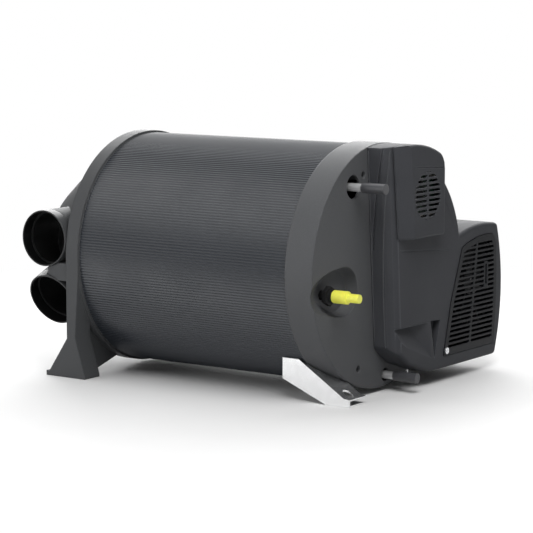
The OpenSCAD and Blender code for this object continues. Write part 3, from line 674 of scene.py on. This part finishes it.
end_out = (1, 0, 0)
parting_line = [parting_point(z) for z in levels(144.8, 20.7, 6)]
hood_parting = groove("cut_hood_parting", parting_line, front_out, width=1.3, depth=2.0)
seam_line = ((379, -9, 21.0), (379, 18, 18.4), (379, 84, 12.8), (379, 104, 10.7))
hood_seam = groove("cut_hood_seam", seam_line, end_out, width=0.7, depth=0.7)
step_line = ((393.6, 0.5, 120.3), (393.6, 66, 115.5))
cover_step = groove("cut_cover_step", step_line, end_out, width=0.8, depth=0.7)
cover_step.parent = nodes["electronics_cover"]
plugs = (
    groove("cut_plug_left", ((389, 11.2, 58), (389, 24.8, 58)), end_out, width=5.0, depth=3.2),
    groove("cut_plug_right", ((389, 31.2, 58), (389, 50.8, 58)), end_out, width=5.0, depth=3.2),
    groove("cut_plug_top", ((388, 46, 105.3), (388, 46, 120.7)), end_out, width=13.0, depth=2.6),
)
seams = {"hood": (hood_parting, hood_seam), "electronics_cover": (cover_step,), "board_connectors": plugs}

# rounding of sharp edges, in metres
edge_widths = {
    "distributor": 0.0012, "end_cover": 0.0009, "hood": 0.0012, "fan_box": 0.0012,
    "electronics_cover": 0.0012, "intake_grille": 0.0004, "foot_bracket": 0.0004,
    "collar_upper_front": 0.0005, "collar_lower_front": 0.0005, "collar_upper_rear": 0.0005,
    "collar_lower_rear": 0.0005, "flue_collar": 0.0005, "exhaust_pipe": 0.0003,
    "gas_cap": 0.0006, "hot_cap": 0.0005, "cold_cap": 0.0005, "gas_seat": 0.0006,
    "hot_pipe": 0.0003, "cold_pipe": 0.0003, "gas_pipe": 0.0002, "grille_screw": 0.0003,
    "fan_wheel": 0.0004, "board_carrier": 0.0003, "control_board": 0.0002,
    "board_connectors": 0.0003, "flue_seal": 0.0004, "bracket_rivets": 0.0004,
}
for name, width in edge_widths.items():
    soften(name, width, seams.get(name, ()))


# Pieces made of rings of points, in drawing millimetres

def piece(name, paint, build, even=False):
    """One mesh from a function that fills it, fixed to the heater."""
    bm = bmesh.new()
    build(bm)
    bmesh.ops.recalc_face_normals(bm, faces=bm.faces)
    for face in bm.faces:
        face.smooth = even
    o = shown(name, bm)
    o.data.materials.append(paint)
    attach(o, "heater")


# Moulded beads on the hood's front wall

def bead(bm, points, r, sides=10):
    """A slim round bead along points, thinner at its ends."""
    path = [Vector(p) for p in points]
    rings = []
    for i, c in enumerate(path):
        along = (path[min(i + 1, len(path) - 1)] - path[max(i - 1, 0)]).normalized()
        u = along.cross(Vector((1, 0, 0))).normalized()
        v = along.cross(u)
        size = r * min(1.0, 0.3 + 0.35 * min(i, len(path) - 1 - i))
        turns = [2 * math.pi * k / sides for k in range(sides)]
        rings.append([bm.verts.new(at(*(c + (u * math.cos(t) + v * math.sin(t)) * size))) for t in turns])
    skin(bm, rings)


def hood_beads(bm):
    """The ridge beside the end face and the bead along the jacket's side."""
    bead(bm, [ridge_point(z) for z in levels(141.5, -96.5, 57)], r=0.8)
    bead(bm, [(bead_x, front_wall(z), z) for z in levels(140.5, -90.0, 49)], r=0.7)


# the beads' grey is paler and shinier than the hood they are moulded with: painted highlight along the
# ridge and the seam
piece("hood_beads", plastic("bead_highlight_plastic", (0.060, 0.062, 0.067), 0.48, shine=0.25), hood_beads, even=True)


# Small parts on the control board

# the face of the board
board_x = 384.6


def brick(bm, y, z, w, h, x0, x1, cut=0.2):
    """A moulded block from x0 to x1: straight sides and a bevelled top."""
    rings = []
    for x, k in ((x0, 0.0), (x1 - cut, 0.0), (x1, cut)):
        a, b = w / 2 - k, h / 2 - k
        corners = ((y - a, z - b), (y + a, z - b), (y + a, z + b), (y - a, z + b))
        rings.append([bm.verts.new(at(x, *c)) for c in corners])
    skin(bm, rings)


def turned(bm, y, z, profile, steps=28):
    """A turned part that stands on the board, from pairs of radius and height."""
    rings = []
    for r, up in profile:
        turns = [2 * math.pi * k / steps for k in range(steps)]
        rings.append([bm.verts.new(at(board_x + up, y + r * math.cos(t), z + r * math.sin(t)))
                      for t in turns])
    skin(bm, rings)


def leg(bm, y, z, side, w=0.4):
    """A bent lead from a chip's side down to the board."""
    rings = []
    for out, up in ((-0.2, 0.8), (0.6, 0.8), (1.0, 0.05), (1.8, 0.05)):
        corners = ((up, -w / 2), (up + 0.18, -w / 2), (up + 0.18, w / 2), (up, w / 2))
        rings.append([bm.verts.new(at(board_x + u, y + side * out, z + v)) for u, v in corners])
    skin(bm, rings)


# y, z, width, height and leads on each side
chips = ((24, 84, 12, 14, 12), (46, 95, 4.4, 5.2, 4), (46, 84, 4.4, 5.2, 4), (46, 73, 4.4, 5.2, 4),
         (12.5, 71, 4.4, 9, 6))
cans = ((13, 113), (22.5, 113), (12.5, 98))
chokes = ((31, 113), (23, 100))
# pairs of radius and height
can_profile = ((4.0, 0), (4.0, 0.6), (3.65, 0.9), (3.65, 1.5), (3.95, 1.8), (3.95, 4.3), (3.7, 4.7),
               (3.2, 4.8), (3.1, 4.65))
coil_profile = ((3.4, 0), (3.4, 0.8), (2.5, 1.1), (2.5, 2.5), (3.4, 2.8), (3.4, 3.6), (3.0, 3.8))
chip_resistors = [(y, 67) for y in range(22, 56, 4)] + [(37, z) for z in range(72, 98, 4)]
# width, height and rise of a chip resistor's body and of its end caps, and the caps' offset
resistor_body, resistor_cap, cap_offset = (1.2, 1.4, 0.6), (1.25, 0.5, 0.65), 0.95
# y, z and the two ends of each pin
pins = [(y, 58, 385.8, 388.2) for y in (13, 15.5, 18, 20.5, 23, 33.4, 36.2, 39, 41.8, 44.6, 47.4)]
pin_width = 0.7
pins += [(y, z, 385.4, 387.4) for y in (43, 49) for z in (107.5, 110.3, 113.1, 115.9, 118.7)]


def chip_bodies(bm):
    for y, z, w, h, _ in chips:
        brick(bm, y, z, w, h, board_x + 0.1, board_x + 1.7, cut=0.3)
    w, h, rise = resistor_body
    for y, z in chip_resistors:
        brick(bm, y, z, w, h, board_x, board_x + rise, cut=0.08)


def tinned_parts(bm):
    """Chip leads, resistor caps and connector pins."""
    for y, z, w, h, count in chips:
        step = (h - 1.2) / (count - 1)
        for k in range(count):
            for side in (-1, 1):
                leg(bm, y + side * w / 2, z - h / 2 + 0.6 + k * step, side)
    w, h, rise = resistor_cap
    for y, z in chip_resistors:
        for end in (-cap_offset, cap_offset):
            brick(bm, y, z + end, w, h, board_x, board_x + rise, cut=0.1)
    for y, z, x0, x1 in pins:
        brick(bm, y, z, pin_width, pin_width, x0 - 0.4, x1, cut=0.25)


def capacitor_cans(bm):
    for y, z in cans:
        turned(bm, y, z, can_profile)


def choke_coils(bm):
    for y, z in chokes:
        turned(bm, y, z, coil_profile)


piece("board_chips", plastic("chip_epoxy", (0.014, 0.014, 0.015), 0.5), chip_bodies)
piece("board_leads", metal("tinned_lead", (0.45, 0.46, 0.47), 0.35), tinned_parts)
piece("board_cans", plastic("capacitor_sleeve", (0.018, 0.020, 0.028), 0.35), capacitor_cans)
piece("board_chokes", rubber("choke_ferrite", (0.020, 0.018, 0.016), 0.5), choke_coils)


# Floor, light and world

floor_half, floor_drop = 9.0, 0.0002
fade_from, fade_to = 0.52, 1.00
floor_tones = ((0.79, 0.79, 0.79), (0.82, 0.82, 0.82))
floor_bounce = (0.60, 0.60, 0.60)


def floor():
    """A white floor that fades into the backdrop. The light it gives back is a darker tone."""
    bm = bmesh.new()
    bmesh.ops.create_grid(bm, x_segments=8, y_segments=8, size=floor_half)
    o = shown("floor", bm)
    o.location.z = -floor_drop
    p = Paint("floor_white")
    tone = p.noise(3.0, 3.0, 0.5)
    path = p.add("ShaderNodeLightPath")
    shiny = p.math("MAXIMUM", path.outputs["Is Glossy Ray"], path.outputs["Is Transmission Ray"])
    seen = p.math("MAXIMUM", path.outputs["Is Camera Ray"], shiny)
    pale_tone = p.blend(p.ramp(tone, 0.3, 0.7), *floor_tones)
    p.finish(p.blend(seen, floor_bounce, pale_tone), 0.75, Specular_IOR_Level=0.1)
    glow = p.add("ShaderNodeEmission")
    glow.inputs["Color"].default_value = (1, 1, 1, 1)
    glow.inputs["Strength"].default_value = 1.0
    far = p.add("ShaderNodeVectorMath", operation="LENGTH")
    p.link(p.coord, far.inputs[0])
    fade = p.math("MULTIPLY", seen, p.ramp(far.outputs["Value"], fade_from, fade_to))
    mix = p.add("ShaderNodeMixShader")
    p.link(fade, mix.inputs[0])
    p.link(p.bsdf.outputs[0], mix.inputs[1])
    p.link(glow.outputs[0], mix.inputs[2])
    p.link(mix.outputs[0], p.out.inputs["Surface"])
    o.data.materials.append(p.mat)


def lamp(name, place, target, size, power, tall=None):
    """An area lamp, unseen by the camera. Without tall it is square."""
    d = bpy.data.lights.new(name, "AREA")
    d.shape = "RECTANGLE"
    d.size = size
    d.size_y = tall or size
    d.energy = power
    o = placed(name, d)
    o.location = place
    o.visible_camera = False
    o.rotation_mode = "QUATERNION"
    o.rotation_quaternion = (Vector(target) - Vector(place)).to_track_quat("-Z", "Y")


def background(tree, strength):
    n = tree.nodes.new("ShaderNodeBackground")
    n.inputs["Color"].default_value = (1, 1, 1, 1)
    n.inputs["Strength"].default_value = strength
    return n.outputs[0]


def studio(soft_light=0.15, backdrop_white=1.0):
    """A white world to look at, which gives only a little light."""
    world = bpy.data.worlds.new("studio")
    scene.world = world
    world.use_nodes = True
    tree = world.node_tree
    tree.nodes.clear()
    out = tree.nodes.new("ShaderNodeOutputWorld")
    path = tree.nodes.new("ShaderNodeLightPath")
    seen = tree.nodes.new("ShaderNodeMath")
    seen.operation = "MAXIMUM"
    tree.links.new(path.outputs["Is Camera Ray"], seen.inputs[0])
    tree.links.new(path.outputs["Is Transmission Ray"], seen.inputs[1])
    mix = tree.nodes.new("ShaderNodeMixShader")
    tree.links.new(seen.outputs[0], mix.inputs[0])
    tree.links.new(background(tree, soft_light), mix.inputs[1])
    tree.links.new(background(tree, backdrop_white), mix.inputs[2])
    tree.links.new(mix.outputs[0], out.inputs["Surface"])


floor()
lamp("overhead", (-0.95, 0.45, 1.85), (0.0, 0.0, 0.15), 2.4, 33.0)
lamp("top_right", (0.65, -0.35, 1.05), (0.2, -0.08, 0.2), 0.5, 3.2)
lamp("front_right", (0.80, -0.95, 1.30), (0.12, -0.08, 0.15), 0.8, 12.0)
lamp("front_left", (-1.6, -2.0, 0.8), (0.0, -0.1, 0.15), 1.3, 12.0)
lamp("front_low", (0.05, -1.4, 0.1), (0.1, -0.1, 0.05), 1.2, 2.4, tall=0.2)
lamp("backdrop", (-1.2, 2.4, 1.5), (-0.1, 0.0, 0.3), 4.0, 120.0, tall=2.2)
studio()
